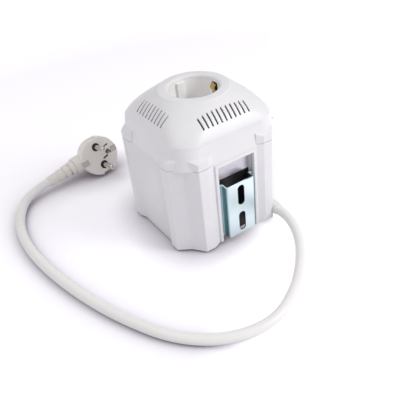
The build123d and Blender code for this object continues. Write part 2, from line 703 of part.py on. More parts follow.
front_y = core_y - frame_side - frame_gauge - wire_radius - 1.7
wire_turn_y = tail_end_y + 4.7
channel_end_x = core_x - core_stack / 2 - 5.0
terminal_mouth_x = board_face + terminal_depth
strap_end_x = clip_out - 2.7
wires = {
    "live_wire": [(gland_x - 1.6, tail_end_y, gland_z - 0.4), (gland_x - 1.6, wire_turn_y, gland_z - 0.4),
                  (gland_x - 8.1, front_y, terminal_z + 7.0), (channel_end_x, front_y, terminal_z - 2.0),
                  (terminal_mouth_x + 3.0, lead_places[0], terminal_z),
                  (terminal_mouth_x - 4.0, lead_places[0], terminal_z)],
    "neutral_wire": [(gland_x, tail_end_y, gland_z + 2.0), (gland_x, wire_turn_y, gland_z + 2.0),
                     (gland_x - 6.6, front_y, terminal_z + 10.0), (channel_end_x, front_y, terminal_z + 1.0),
                     (terminal_mouth_x + 3.0, lead_places[1], terminal_z),
                     (terminal_mouth_x - 4.0, lead_places[1], terminal_z)],
    "earth_wire": [(gland_x + 1.6, tail_end_y, gland_z - 0.4),
                   (gland_x + 1.6, tail_end_y + 8.0, gland_z - 0.4),
                   (gland_x + 1.6, tail_end_y + 8.0, over_core_z + 4.0), (strap_end_x, 0, strap_z - 9.0),
                   (strap_end_x, 0, strap_z - strap_gauge / 2)],
    "live_output_wire": [(board_face, contact_tail_y, over_core_z), (0, contact_tail_y, over_core_z),
                         (0, contact_tail_y, contact_tail_z)],
    "neutral_output_wire": [(board_face, -contact_tail_y, over_core_z), (0, -contact_tail_y, over_core_z),
                            (0, -contact_tail_y, contact_tail_z)],
}
for name, points in wires.items():
    wire = swept(points, wire_radius, wire_bend)
    wire.label = name
    export_step(wire.moved(to_middle), f"parts/{name}.step")

# Four taps straight from the coil to the board
tap_z = bobbin_low_z + bobbin_height / 2 + 2.4
with BuildPart() as coil_taps:
    with BuildSketch(Plane.YZ.offset(board_face)):
        with Locations((0, tap_z)):
            with GridLocations(6.0, 1, 4, 1):
                Circle(0.8)
    extrude(amount=core_x - bobbin_x / 2 + 1.0 - board_face)
coil_taps.part.label = "coil_taps"
export_step(coil_taps.part.moved(to_middle), "parts/coil_taps.step")

# Blank rating plate on the floor of the recess, above the bracket
plate_height = recess_top_z - rail_top_z - 4.3
with BuildPart() as rating_plate:
    with BuildSketch(Plane.XZ.offset(recess_floor)):
        with Locations((0, recess_top_z - 1.9 - plate_height / 2)):
            Rectangle(rail_web, plate_height)
    extrude(amount=0.3)
rating_plate.part.label = "rating_plate"
export_step(rating_plate.part.moved(to_middle), "parts/rating_plate.step")

# Rail bracket: top-hat strip on edge, its lips in the grooves beside the recess, two slots for wall screws
lip_y = -(lip_back + rail_gauge / 2)
web_y = -(rail_face - rail_gauge / 2)
web_x = rail_web / 2 - rail_gauge / 2
rail_slot_places = [(0, rail_rest_z + rail_length / 2 + k * rail_slot_pitch / 2) for k in (-1, 1)]
with BuildPart() as rail_bracket:
    with BuildSketch(Plane.XY.offset(rail_rest_z)):
        with BuildLine(mode=Mode.PRIVATE) as section:
            FilletPolyline((-rail_width / 2, lip_y), (-web_x, lip_y), (-web_x, web_y), (web_x, web_y),
                           (web_x, lip_y), (rail_width / 2, lip_y), radius=0.9)
        trace(section.line, line_width=rail_gauge)
    extrude(amount=rail_length)
    with BuildSketch(Plane.XZ.offset(rail_face - 3.0)):
        with Locations(*rail_slot_places):
            SlotOverall(rail_slot_length, rail_slot_width, rotation=90)
    extrude(amount=6.0, mode=Mode.SUBTRACT)
rail_bracket.part.label = "rail_bracket"
export_step(rail_bracket.part.moved(to_middle), "parts/rail_bracket.step")

# Tapered strain relief in the cord hole, a collar against the shoulder cut in the column
gland_mouth_radius = cord_radius + 0.6
gland_shoulder_y = gland_end_y + gland_head - 0.1
with BuildPart() as strain_relief:
    with BuildSketch(Plane(origin=(gland_x, 0, gland_z), x_dir=(1, 0, 0), z_dir=(0, 0, 1))):
        with BuildLine():
            Polyline((cord_radius - 0.15, gland_end_y + gland_length),
                     (gland_neck, gland_end_y + gland_length),
                     (gland_neck, gland_shoulder_y), (gland_radius, gland_shoulder_y),
                     (gland_radius, gland_shoulder_y - 1.5), (gland_mouth_radius, gland_end_y),
                     (cord_radius - 0.15, gland_end_y), close=True)
        make_face()
    revolve(axis=Axis((gland_x, 0, gland_z), (0, 1, 0)))
strain_relief.part.label = "strain_relief"
export_step(strain_relief.part.moved(to_middle), "parts/strain_relief.step")

# Earthed angled plug, lying on the side of its cone with the lead leaving across the pins
plug_face = Vector(-45.0, 110.0, plug_radius + 2.0)
pin_way = Vector(0.06, -0.955, 0.29).normalized()
lead_guess = Vector(-0.986, -0.10, -0.13)
lead_way = (lead_guess - pin_way * lead_guess.dot(pin_way)).normalized()
across = pin_way.cross(lead_way)
plug_side = Plane(origin=plug_face, x_dir=lead_way, z_dir=across)
plug_inward = Plane(origin=plug_face, x_dir=lead_way, z_dir=-pin_way)
lead_depth = 14.0
lead_centre = plug_face - pin_way * lead_depth
root_radius = 8.3
root_length = 24.0
strip_width = 5.0
strip_gauge = 0.6
strip_run = 5.0
notch_width = 7.6
pin_root_radius = 2.0
pin_root = 5.9
pin_neck = 0.6
with BuildPart() as plug_body:
    with BuildSketch(plug_side):
        with BuildLine():
            Polyline((0, 0), (plug_radius - 0.8, 0), (plug_radius, 0.8), (plug_radius, 9.0),
                     (plug_radius - 3.6, plug_depth - 5.0), (plug_radius - 5.6, plug_depth - 1.7),
                     (plug_radius - 9.6, plug_depth), (0, plug_depth), close=True)
        make_face()
    revolve(axis=Axis(plug_face, pin_way))
    with BuildSketch(Plane(origin=lead_centre, x_dir=across, z_dir=lead_way)):
        Circle(root_radius)
    extrude(amount=root_length)
    with BuildSketch(plug_inward):
        with Locations((0, plug_radius), (0, -plug_radius)):
            Rectangle(notch_width, 4.0)
    extrude(amount=14.0, mode=Mode.SUBTRACT)
    with BuildSketch(plug_inward):
        with Locations((0, pin_spacing / 2), (0, -pin_spacing / 2)):
            Circle(pin_root_radius + 0.05)
    extrude(amount=pin_root + 0.1, mode=Mode.SUBTRACT)
    with BuildSketch(plug_side):
        for side in (-1, 1):
            with BuildLine():
                Polyline((side * 12.4, 0), (side * (plug_radius + 1), 0),
                         (side * (plug_radius + 1), strip_run + 0.1),
                         (side * (plug_radius - strip_gauge - 0.2), strip_run + 0.1),
                         (side * (plug_radius - strip_gauge - 0.2), strip_gauge + 0.2),
                         (side * 12.4, strip_gauge + 0.2), close=True)
            make_face()
    extrude(amount=strip_width / 2 + 0.2, both=True, mode=Mode.SUBTRACT)
    with BuildSketch(plug_inward):
        with Locations((-9.0, 0)):
            Circle(2.6)
    extrude(amount=15.0, mode=Mode.SUBTRACT)
plug_body.part.label = "plug_body"
export_step(plug_body.part.moved(to_middle), "parts/plug_body.step")

with BuildPart() as plug_pins:
    with BuildSketch(Plane(origin=plug_face - pin_way * pin_root, x_dir=lead_way, z_dir=pin_way)):
        with Locations((0, pin_spacing / 2), (0, -pin_spacing / 2)):
            Circle(pin_root_radius)
    extrude(amount=pin_root + pin_neck)
    with BuildSketch(Plane(origin=plug_face + pin_way * pin_neck, x_dir=lead_way, z_dir=pin_way)):
        with Locations((0, pin_spacing / 2), (0, -pin_spacing / 2)):
            Circle(pin_radius)
    extrude(amount=pin_length - pin_neck)
    chamfer(plug_pins.faces().sort_by(Axis(plug_face, pin_way))[-2:].edges(), length=0.8)
plug_pins.part.label = "plug_pins"
export_step(plug_pins.part.moved(to_middle), "parts/plug_pins.step")

with BuildPart() as plug_earth_strips:
    with BuildSketch(plug_side):
        for side in (-1, 1):
            with BuildLine():
                Polyline((side * 12.5, 0.1), (side * (plug_radius - 0.1), 0.1),
                         (side * (plug_radius - 0.1), strip_run),
                         (side * (plug_radius - strip_gauge - 0.1), strip_run),
                         (side * (plug_radius - strip_gauge - 0.1), strip_gauge + 0.1),
                         (side * 12.5, strip_gauge + 0.1), close=True)
            make_face()
    extrude(amount=strip_width / 2, both=True)
plug_earth_strips.part.label = "plug_earth_strips"
export_step(plug_earth_strips.part.moved(to_middle), "parts/plug_earth_strips.step")

# Ribbed strain relief of the plug
boot_length = 28.0
boot_start = root_length + 0.1
boot_radius = 7.0
boot_end_radius = cord_radius + 0.6
rib_cuts = [boot_start + 5.5 + 6.5 * k for k in range(3)]
with BuildPart() as plug_boot:
    with BuildSketch(Plane(origin=lead_centre, x_dir=lead_way, z_dir=across)):
        with BuildLine():
            Polyline((boot_start, 0), (boot_start, boot_radius), (boot_start + 2.0, boot_radius),
                     (boot_start + boot_length, boot_end_radius), (boot_start + boot_length, 0), close=True)
        make_face()
        with Locations(*[(x, boot_radius) for x in rib_cuts]):
            Rectangle(1.6, 4.4, mode=Mode.SUBTRACT)
    revolve(axis=Axis(lead_centre, lead_way))
plug_boot.part.label = "plug_boot"
export_step(plug_boot.part.moved(to_middle), "parts/plug_boot.step")

# Mains lead from the housing round to the plug
boot_end = lead_centre + lead_way * (boot_start + boot_length)
boot_line = lead_centre + lead_way * (boot_start + boot_length + 21.0)
cord_points = [
    (gland_x, gland_end_y, gland_z), (gland_x, -64.0, gland_z), (34.5, -77.0, 5.6), (26.0, -91.5, 4.0),
    (11.0, -108.0, 4.0), (-10.0, -125.0, 4.0), (-39.0, -138.0, 4.0), (-72.0, -131.5, 4.0),
    (-100.0, -107.5, 4.0), (-119.0, -70.0, 4.0), (-131.0, -36.0, 4.0), (-140.0, 0.0, 4.0),
    (-145.0, 38.0, 4.0), (-143.0, 72.0, 4.0), (-133.0, 100.0, 4.0), tuple(boot_line), tuple(boot_end),
]


def bend_radii(points):
    """Widest arc at each point that leaves both runs a straight middle."""
    radii = []
    for a, b, c in zip(points, points[1:], points[2:]):
        before = Vector(*b) - Vector(*a)
        after = Vector(*c) - Vector(*b)
        turn = radians(before.get_angle(after))
        radii.append(0.45 * min(before.length, after.length) / tan(turn / 2))
    return radii


cord_bends = bend_radii(cord_points)
print("cord bends", [round(r, 1) for r in cord_bends])
mains_cord = swept(cord_points, cord_radius, cord_bends)
mains_cord.label = "mains_cord"
print("cord length", round(mains_cord.volume / (3.14159 * cord_radius ** 2), 1))
print("cord points", [tuple(round(c, 2) for c in p) for p in cord_points])
print("moved to the middle by", to_middle.position)
export_step(mains_cord.moved(to_middle), "parts/mains_cord.step")
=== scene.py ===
# Small white voltage stabilizer: finishes, fine pieces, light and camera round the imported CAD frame.
# Lengths are in mm in the dictionaries of the pieces, and in metres in those of camera, floor and lights.
import json
import math

import bmesh
import bpy
from mathutils import Matrix, Vector


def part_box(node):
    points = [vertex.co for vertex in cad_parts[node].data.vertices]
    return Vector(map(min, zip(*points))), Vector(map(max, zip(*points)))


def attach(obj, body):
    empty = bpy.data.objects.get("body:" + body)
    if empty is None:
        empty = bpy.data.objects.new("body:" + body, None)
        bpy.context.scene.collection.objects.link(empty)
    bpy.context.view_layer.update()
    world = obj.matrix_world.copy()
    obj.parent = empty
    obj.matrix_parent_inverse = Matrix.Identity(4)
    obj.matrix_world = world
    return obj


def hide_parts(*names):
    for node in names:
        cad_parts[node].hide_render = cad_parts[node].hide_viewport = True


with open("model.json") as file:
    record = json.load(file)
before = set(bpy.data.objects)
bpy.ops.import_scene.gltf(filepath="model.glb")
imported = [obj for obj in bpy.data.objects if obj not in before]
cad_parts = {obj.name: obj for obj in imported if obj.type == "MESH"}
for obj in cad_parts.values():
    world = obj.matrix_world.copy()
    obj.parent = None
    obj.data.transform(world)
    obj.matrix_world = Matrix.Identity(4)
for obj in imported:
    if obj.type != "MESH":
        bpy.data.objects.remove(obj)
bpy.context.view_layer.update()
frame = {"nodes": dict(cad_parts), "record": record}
nodes = frame["nodes"]
mm = 0.001
print("frame in place:", len(nodes), "nodes")

camera = {
    "azimuth": -30.67,  # degrees round +Z, from straight in front of the bracket wall
    "elevation": 36.48,
    "roll": -6.34,
    "distance": 0.4474,
    "target": (-0.0117, -0.00975, 0.0195),
    "lens": 48.54,
    "sensor": 36,
    "near": 0.01,
}


def addObject(name, data):
    obj = bpy.data.objects.new(name, data)
    bpy.context.scene.collection.objects.link(obj)
    return obj


def placeCamera(spec):
    az, el, roll = (math.radians(spec[k]) for k in ("azimuth", "elevation", "roll"))
    back = Vector((math.sin(az) * math.cos(el), -math.cos(az) * math.cos(el), math.sin(el)))
    right = Vector((0, 0, 1)).cross(back).normalized()
    up = back.cross(right)
    rolledRight = right * math.cos(roll) + up * math.sin(roll)
    rolledUp = up * math.cos(roll) - right * math.sin(roll)
    turn = Matrix((rolledRight, rolledUp, back)).transposed().to_4x4()
    data = bpy.data.cameras.new("photoCamera")
    data.lens = spec["lens"]
    data.sensor_width = spec["sensor"]
    data.clip_start = spec["near"]
    obj = addObject("photoCamera", data)
    obj.matrix_world = Matrix.Translation(Vector(spec["target"]) + back * spec["distance"]) @ turn
    bpy.context.scene.camera = obj


placeCamera(camera)
print("camera set")


# Colour as sRGB hex text, to linear values
def hexColor(text):
    parts = [int(text[i:i + 2], 16) / 255 for i in (0, 2, 4)]
    return [c / 12.92 if c <= 0.04045 else ((c + 0.055) / 1.055) ** 2.4 for c in parts] + [1.0]


def newGroup(name, inputs, outputs):
    group = bpy.data.node_groups.new(name, "ShaderNodeTree")
    for label, kind, value in inputs:
        socket = group.interface.new_socket(name=label, in_out="INPUT", socket_type=kind)
        socket.default_value = value
    for label in outputs:
        group.interface.new_socket(name=label, in_out="OUTPUT", socket_type="NodeSocketFloat")
    return group, group.nodes.new("NodeGroupInput"), group.nodes.new("NodeGroupOutput")


def feed(tree, socket, value):
    if isinstance(value, (int, float, tuple, list)):
        socket.default_value = value
    else:
        tree.links.new(value, socket)


def texCoord(tree, kind="Object"):
    return tree.nodes.new("ShaderNodeTexCoord").outputs[kind]


def mathNode(tree, operation, a, b=None, clamp=False):
    node = tree.nodes.new("ShaderNodeMath")
    node.operation = operation
    node.use_clamp = clamp
    feed(tree, node.inputs[0], a)
    if b is not None:
        feed(tree, node.inputs[1], b)
    return node.outputs[0]


def vectorNode(tree, operation, *values):
    node = tree.nodes.new("ShaderNodeVectorMath")
    node.operation = operation
    for socket, value in zip(node.inputs, values):
        feed(tree, socket, value)
    return node


# The part of a value above its start, made steeper and kept from 0 to 1
def maskAbove(tree, value, start, gain):
    return mathNode(tree, "MULTIPLY", mathNode(tree, "SUBTRACT", value, start, True), gain, True)


# A straight rise, gain times the value less a drop, kept from 0 to 1
def rampNode(tree, value, gain, drop):
    return mathNode(tree, "SUBTRACT", mathNode(tree, "MULTIPLY", value, gain), drop, True)


def noiseNode(tree, vector, scale, detail, rough):
    node = tree.nodes.new("ShaderNodeTexNoise")
    for label, value in (("Vector", vector), ("Scale", scale), ("Detail", detail), ("Roughness", rough)):
        feed(tree, node.inputs[label], value)
    return node.outputs["Fac"]


# Noise with features as many mm wide as a group's input says
def noiseOfSize(tree, vector, size, detail, rough):
    return noiseNode(tree, vector, mathNode(tree, "DIVIDE", 1 / mm, size), detail, rough)


# Fine texture of a moulded or cast skin: its height, a slow change of tone, and smudges where hands touch
def buildMouldedSkin():
    group, given, put = newGroup(
        "mouldedSkin",
        [("Grain mm", "NodeSocketFloat", 0.4), ("Mottle mm", "NodeSocketFloat", 12.0),
         ("Smudge mm", "NodeSocketFloat", 30.0)],
        ["Height", "Tone", "Smudge"])
    at = texCoord(group)
    grain = noiseOfSize(group, at, given.outputs["Grain mm"], detail=2.0, rough=0.6)
    tone = noiseOfSize(group, at, given.outputs["Mottle mm"], detail=4.0, rough=0.55)
    smudge = noiseOfSize(group, at, given.outputs["Smudge mm"], detail=5.0, rough=0.65)
    group.links.new(grain, put.inputs["Height"])
    group.links.new(tone, put.inputs["Tone"])
    group.links.new(maskAbove(group, smudge, start=0.42, gain=3.0), put.inputs["Smudge"])
    return group


# Drawn lines of rolled or turned metal, stretched along one direction
def buildDrawnLines():
    group, given, put = newGroup(
        "drawnLines",
        [("Stretch", "NodeSocketVector", (400.0, 400.0, 8.0)), ("Blotch mm", "NodeSocketFloat", 9.0)],
        ["Height", "Streak", "Blotch"])
    at = texCoord(group)
    stretched = vectorNode(group, "MULTIPLY", at, given.outputs["Stretch"]).outputs[0]
    lines = noiseNode(group, stretched, scale=6.0, detail=3.0, rough=0.7)
    blotch = noiseOfSize(group, at, given.outputs["Blotch mm"], detail=3.0, rough=0.5)
    group.links.new(lines, put.inputs["Height"])
    group.links.new(lines, put.inputs["Streak"])
    group.links.new(blotch, put.inputs["Blotch"])
    return group


# Dust that settles on faces that look up
def buildDustFall():
    group, given, put = newGroup(
        "dustFall", [("Amount", "NodeSocketFloat", 0.2), ("Speck mm", "NodeSocketFloat", 1.5)], ["Mask"])
    split = group.nodes.new("ShaderNodeSeparateXYZ")
    group.links.new(texCoord(group, "Normal"), split.inputs[0])
    facing = maskAbove(group, split.outputs["Z"], start=0.35, gain=1.5)
    specks = noiseOfSize(group, texCoord(group), given.outputs["Speck mm"], detail=5.0, rough=0.7)
    spread = maskAbove(group, specks, start=0.45, gain=3.0)
    group.links.new(mathNode(group, "MULTIPLY", mathNode(group, "MULTIPLY", facing, spread), given.outputs["Amount"]),
                    put.inputs["Mask"])
    return group


mouldedSkin = buildMouldedSkin()
drawnLines = buildDrawnLines()
dustFall = buildDustFall()


def placeGroup(tree, group, **values):
    node = tree.nodes.new("ShaderNodeGroup")
    node.node_tree = group
    for label, value in values.items():
        node.inputs[label.replace("_", " ")].default_value = value
    return node.outputs


def blendColor(tree, factor, a, b):
    node = tree.nodes.new("ShaderNodeMix")
    node.data_type = "RGBA"
    tree.links.new(factor, node.inputs["Factor"])
    feed(tree, node.inputs[6], a)
    feed(tree, node.inputs[7], b)
    return node.outputs[2]


def between(tree, factor, low, high):
    node = tree.nodes.new("ShaderNodeMapRange")
    tree.links.new(factor, node.inputs["Value"])
    node.inputs["To Min"].default_value = low
    node.inputs["To Max"].default_value = high
    return node.outputs["Result"]


def bumpNode(tree, height, distance):
    node = tree.nodes.new("ShaderNodeBump")
    node.inputs["Strength"].default_value = 1.0
    node.inputs["Distance"].default_value = distance
    tree.links.new(height, node.inputs["Height"])
    return node.outputs["Normal"]


def newMaterial(name):
    material = bpy.data.materials.new(name)
    material.use_nodes = True
    return material, material.node_tree, material.node_tree.nodes["Principled BSDF"]


# Colour, a roughness that follows a mask between two values, and a relief as deep as given
def dressShader(tree, shader, color, mask, rough, height=None, depth=0.0):
    tree.links.new(color, shader.inputs["Base Color"])
    tree.links.new(between(tree, mask, *rough), shader.inputs["Roughness"])
    if height is not None:
        tree.links.new(bumpNode(tree, height, depth * mm), shader.inputs["Normal"])


# Sizes of grain and mottle and the depth of the relief are in mm
plasticBase = {"mottle": 12.0, "dustColor": "B9B4AC", "ior": 1.47, "coatRough": 0.25}
plastics = {
    "white_plastic": {
        "color": "F1F0F2", "shade": "ECEBEE", "grain": 0.35, "depth": 0.012, "rough": (0.34, 0.46),
        "dust": 0.05, "coat": 0.12},
    "outlet_plastic": {
        "color": "F8F7F7", "shade": "F3F2F2", "grain": 0.3, "depth": 0.006, "rough": (0.22, 0.32), "coat": 0.25},
    "foot_rubber": {
        "color": "3E3D3F", "shade": "343335", "grain": 0.25, "depth": 0.03, "rough": (0.7, 0.85), "dust": 0.2},
    "carrier_plastic": {
        "color": "2B2B2D", "shade": "242426", "grain": 0.3, "depth": 0.02, "rough": (0.45, 0.6)},
    "bobbin_plastic": {
        "color": "1F1F21", "shade": "19191B", "grain": 0.35, "depth": 0.02, "rough": (0.4, 0.55), "dust": 0.3},
    "relay_plastic": {
        "color": "20407A", "shade": "1B376B", "grain": 0.5, "depth": 0.008, "rough": (0.25, 0.35), "coat": 0.3},
    "capacitor_sleeve": {
        "color": "15151A", "shade": "101014", "grain": 0.6, "depth": 0.01, "rough": (0.2, 0.32), "coat": 0.3},
    "terminal_plastic": {
        "color": "1E7A4A", "shade": "1A6C41", "grain": 0.35, "depth": 0.02, "rough": (0.45, 0.55)},
    "chip_plastic": {
        "color": "121213", "shade": "0D0D0E", "grain": 0.2, "depth": 0.01, "rough": (0.5, 0.6)},
    "cord_sheath": {
        "color": "FBFAF8", "shade": "F4F2EF", "grain": 0.7, "depth": 0.02, "rough": (0.38, 0.5),
        "mottle": 25.0, "coat": 0.1},
    "brown_wire": {
        "color": "6A3F22", "shade": "5C361D", "grain": 0.4, "depth": 0.01, "rough": (0.35, 0.45)},
    "blue_wire": {
        "color": "2C5FB0", "shade": "27549B", "grain": 0.4, "depth": 0.01, "rough": (0.35, 0.45)},
    "green_wire": {
        "color": "D8C93A", "shade": "2F8A3C", "grain": 0.4, "depth": 0.01, "rough": (0.35, 0.45), "mottle": 2.2},
    "red_wire": {
        "color": "A8231B", "shade": "931E18", "grain": 0.4, "depth": 0.01, "rough": (0.35, 0.45)},
    "relief_rubber": {
        "color": "F6F5F3", "shade": "EFEDEA", "grain": 0.3, "depth": 0.02, "rough": (0.5, 0.62)},
    "plug_rubber": {
        "color": "F6F2ED", "shade": "EDE8E1", "grain": 0.35, "depth": 0.02, "rough": (0.42, 0.56), "mottle": 9.0},
}
metalBase = {"blotch": 9.0, "streak": 0.25, "metal": 1.0}
metals = {
    "screw_steel": {
        "color": "A9ABB0", "shade": "8F9196", "streakColor": "C9CBD0", "stretch": (300.0, 300.0, 60.0),
        "depth": 0.006, "rough": (0.28, 0.42)},
    "brass": {
        "color": "D9B56A", "shade": "C29A4C", "streakColor": "EBD293", "stretch": (500.0, 500.0, 30.0),
        "depth": 0.005, "rough": (0.22, 0.36)},
    "core_steel": {
        "color": "5A5B60", "shade": "45464B", "streakColor": "75767C", "stretch": (330.0, 4.0, 4.0),
        "depth": 0.05, "rough": (0.4, 0.6), "streak": 0.6},
    "zinc_steel": {  # its faces towards +X and -X carry a painted teal reflection
        "color": "D6E2E5", "shade": "BACDD2", "streakColor": "EEF4F5", "stretch": (300.0, 300.0, 10.0),
        "depth": 0.004, "rough": (0.24, 0.4), "blotch": 14.0, "sideReflectionTint": "7FA6AB", "sideReflectionPower": 1.5},
    "plate_foil": {
        "color": "CFCBD2", "shade": "BFBBC3", "streakColor": "E2DFE5", "stretch": (20.0, 400.0, 400.0),
        "depth": 0.003, "rough": (0.32, 0.45), "metal": 0.7},
    "nickel_plate": {
        "color": "DEDAD3", "shade": "C8C4BC", "streakColor": "EDEAE4", "stretch": (300.0, 30.0, 300.0),
        "depth": 0.004, "rough": (0.16, 0.28)},
}


def plasticFinish(name, look):
    look = {**plasticBase, **look}
    material, tree, shader = newMaterial(name)
    skin = placeGroup(tree, mouldedSkin, Grain_mm=look["grain"], Mottle_mm=look["mottle"])
    color = blendColor(tree, skin["Tone"], hexColor(look["shade"]), hexColor(look["color"]))
    if "dust" in look:
        dust = placeGroup(tree, dustFall, Amount=look["dust"])
        color = blendColor(tree, dust["Mask"], color, hexColor(look["dustColor"]))
    dressShader(tree, shader, color, skin["Smudge"], look["rough"], skin["Height"], look["depth"])
    shader.inputs["IOR"].default_value = look["ior"]
    if "coat" in look:
        shader.inputs["Coat Weight"].default_value = look["coat"]
        shader.inputs["Coat Roughness"].default_value = look["coatRough"]
    return material


def metalFinish(name, look):
    look = {**metalBase, **look}
    material, tree, shader = newMaterial(name)
    lines = placeGroup(tree, drawnLines, Stretch=look["stretch"], Blotch_mm=look["blotch"])
    color = blendColor(tree, lines["Blotch"], hexColor(look["shade"]), hexColor(look["color"]))
    streaks = between(tree, lines["Streak"], 0.0, look["streak"])
    color = blendColor(tree, streaks, color, hexColor(look["streakColor"]))
    # Painted reflection: teal mixed in as the normal turns towards +X or -X
    if "sideReflectionTint" in look:
        facing = tree.nodes.new("ShaderNodeSeparateXYZ")
        tree.links.new(texCoord(tree, "Normal"), facing.inputs[0])
        side = mathNode(tree, "ABSOLUTE", facing.outputs["X"])
        side = mathNode(tree, "POWER", side, look["sideReflectionPower"], True)
        color = blendColor(tree, side, color, hexColor(look["sideReflectionTint"]))
    dressShader(tree, shader, color, lines["Blotch"], look["rough"], lines["Height"], look["depth"])
    shader.inputs["Metallic"].default_value = look["metal"]
    return material


# Yellow tape in overlapping turns round the coil
tape = {
    "color": "E3C14A", "shade": "C9A227", "grain": 0.8, "mottle": 6.0, "rough": (0.18, 0.32), "depth": 0.12,
    "turns": 32.0, "waver": 0.4,
}


def tapeFinish(name, look):
    material, tree, shader = newMaterial(name)
    skin = placeGroup(tree, mouldedSkin, Grain_mm=look["grain"], Mottle_mm=look["mottle"])
    turns = tree.nodes.new("ShaderNodeTexWave")
    turns.wave_type = "BANDS"
    turns.bands_direction = "Z"
    turns.wave_profile = "SAW"
    turns.inputs["Scale"].default_value = look["turns"]
    turns.inputs["Distortion"].default_value = look["waver"]
    tree.links.new(texCoord(tree), turns.inputs["Vector"])
    color = blendColor(tree, turns.outputs["Fac"], hexColor(look["shade"]), hexColor(look["color"]))
    dressShader(tree, shader, color, skin["Smudge"], look["rough"], turns.outputs["Fac"], look["depth"])
    return material


# Green board, its copper runs paler under the mask: square rings round scattered points
board = {
    "color": "1D6B3A", "shade": "185C32", "runs": "348A52", "grain": 0.5, "rough": (0.25, 0.4), "depth": 0.04,
    "cells": 85.0, "rings": 34.0, "runStart": 0.25, "runGain": 6.0,
}


def boardFinish(name, look):
    material, tree, shader = newMaterial(name)
    cells = tree.nodes.new("ShaderNodeTexVoronoi")
    cells.distance = "CHEBYCHEV"
    cells.inputs["Scale"].default_value = look["cells"]
    tree.links.new(texCoord(tree), cells.inputs["Vector"])
    waves = mathNode(tree, "SINE", mathNode(tree, "MULTIPLY", cells.outputs["Distance"], look["rings"]))
    runs = maskAbove(tree, waves, look["runStart"], look["runGain"])
    skin = placeGroup(tree, mouldedSkin, Grain_mm=look["grain"])
    mask = blendColor(tree, skin["Tone"], hexColor(look["shade"]), hexColor(look["color"]))
    color = blendColor(tree, runs, mask, hexColor(look["runs"]))
    dressShader(tree, shader, color, skin["Smudge"], look["rough"], runs, look["depth"])
    return material


glass = {"color": "E8F0EE", "shade": "D5E0DE", "grain": 1.0, "rough": (0.05, 0.12), "through": 0.6}


def glassFinish(name, look):
    material, tree, shader = newMaterial(name)
    skin = placeGroup(tree, mouldedSkin, Grain_mm=look["grain"])
    color = blendColor(tree, skin["Tone"], hexColor(look["shade"]), hexColor(look["color"]))
    dressShader(tree, shader, color, skin["Smudge"], look["rough"])
    shader.inputs["Transmission Weight"].default_value = look["through"]
    return material


materials = {name: plasticFinish(name, look) for name, look in plastics.items()}
materials.update({name: metalFinish(name, look) for name, look in metals.items()})
materials["winding_wrap"] = tapeFinish("winding_wrap", tape)
materials["board_laminate"] = boardFinish("board_laminate", board)
materials["fuse_glass"] = glassFinish("fuse_glass", glass)
print("finishes ready:", len(materials))

slotOf = {s["node"]: s["material_slot"] for s in frame["record"]["subparts"]}
bodyOf = {n: body for body, names in frame["record"]["behaviour"]["bodies"].items() for n in names}
for name, node in nodes.items():
    node.data.materials.clear()
    node.data.materials.append(materials[slotOf[name]])


def addPiece(name, data, slot, body="housing"):
    data.materials.append(materials[slot])
    obj = addObject(name, data)
    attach(obj, body)
    return obj


# A piece from a bmesh, smooth where its faces meet at less than an angle in degrees
def addForm(name, form, slot, body="housing", smoothBelow=None):
    mesh = bpy.data.meshes.new(name)
    form.to_mesh(mesh)
    form.free()
    if smoothBelow is not None:
        mesh.shade_smooth()
        mesh.set_sharp_from_angle(angle=math.radians(smoothBelow))
    return addPiece(name, mesh, slot, body)


def joinRings(form, a, b):
    for i in range(len(a)):
        j = (i + 1) % len(a)
        form.faces.new((a[i], b[i], b[j], a[j]))


# A closed body through a row of rings that have as many points each
def closeRings(form, rings):
    form.faces.new(rings[0])
    form.faces.new(rings[-1][::-1])
    for a, b in zip(rings, rings[1:]):
        joinRings(form, a, b)
    bmesh.ops.recalc_face_normals(form, faces=form.faces)


# Moulded and pressed pieces with their soft edges: edge radius, steps round it, and the angle that is an edge
softEdges = {
    "lower_housing": {"radius": 0.55, "steps": 3, "angle": 28},
    "top_cover": {"radius": 0.45, "steps": 3, "angle": 21},
    "socket_well": {"radius": 0.3, "steps": 2, "angle": 40},
    "plug_body": {"radius": 0.55, "steps": 3, "angle": 24},
    "plug_boot": {"radius": 0.3, "steps": 2, "angle": 40},
    "plug_pins": {"radius": 0.25, "steps": 2, "angle": 30},
    "rubber_feet": {"radius": 0.4, "steps": 2, "angle": 40},
    "relays": {"radius": 0.18, "steps": 2, "angle": 30},
    "capacitors": {"radius": 0.6, "steps": 3, "angle": 40},
    "terminal_block": {"radius": 0.25, "steps": 2, "angle": 40},
    "coil_winding": {"radius": 0.8, "steps": 3, "angle": 40},
    "earth_strap": {"radius": 0.12, "steps": 2, "angle": 50},
    "rail_bracket": {"radius": 0.15, "steps": 2, "angle": 50},
}
softening = {"weld": 0.004, "flat": 0.4}  # points closer than this become one, faces this flat (degrees) too

# Crease where the cover's skirt ends, a ring of the dome drawn out a little
shoulder = {"z": 93.8, "reach": 0.15, "out": 1.008, "middleY": 1.35}


def drawShoulder(form, spec):
    for vert in form.verts:
        if abs(vert.co.z / mm - spec["z"]) < spec["reach"]:
            vert.co.x *= spec["out"]
            vert.co.y = spec["middleY"] * mm + (vert.co.y - spec["middleY"] * mm) * spec["out"]


def softenNode(name, look):
    form = bmesh.new()
    form.from_mesh(nodes[name].data)
    bmesh.ops.remove_doubles(form, verts=form.verts, dist=softening["weld"] * mm)
    if name == "top_cover":
        drawShoulder(form, shoulder)
    bmesh.ops.dissolve_limit(form, angle_limit=math.radians(softening["flat"]), verts=form.verts, edges=form.edges)
    obj = addForm(name + "Soft", form, slotOf[name], bodyOf[name], smoothBelow=look["angle"])
    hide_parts(name)
    edge = obj.modifiers.new("edgeRadius", "BEVEL")
    edge.width = look["radius"] * mm
    edge.segments = look["steps"]
    edge.limit_method = "ANGLE"
    edge.angle_limit = math.radians(look["angle"])
    edge.harden_normals = True
    edge.use_clamp_overlap = True
    return obj


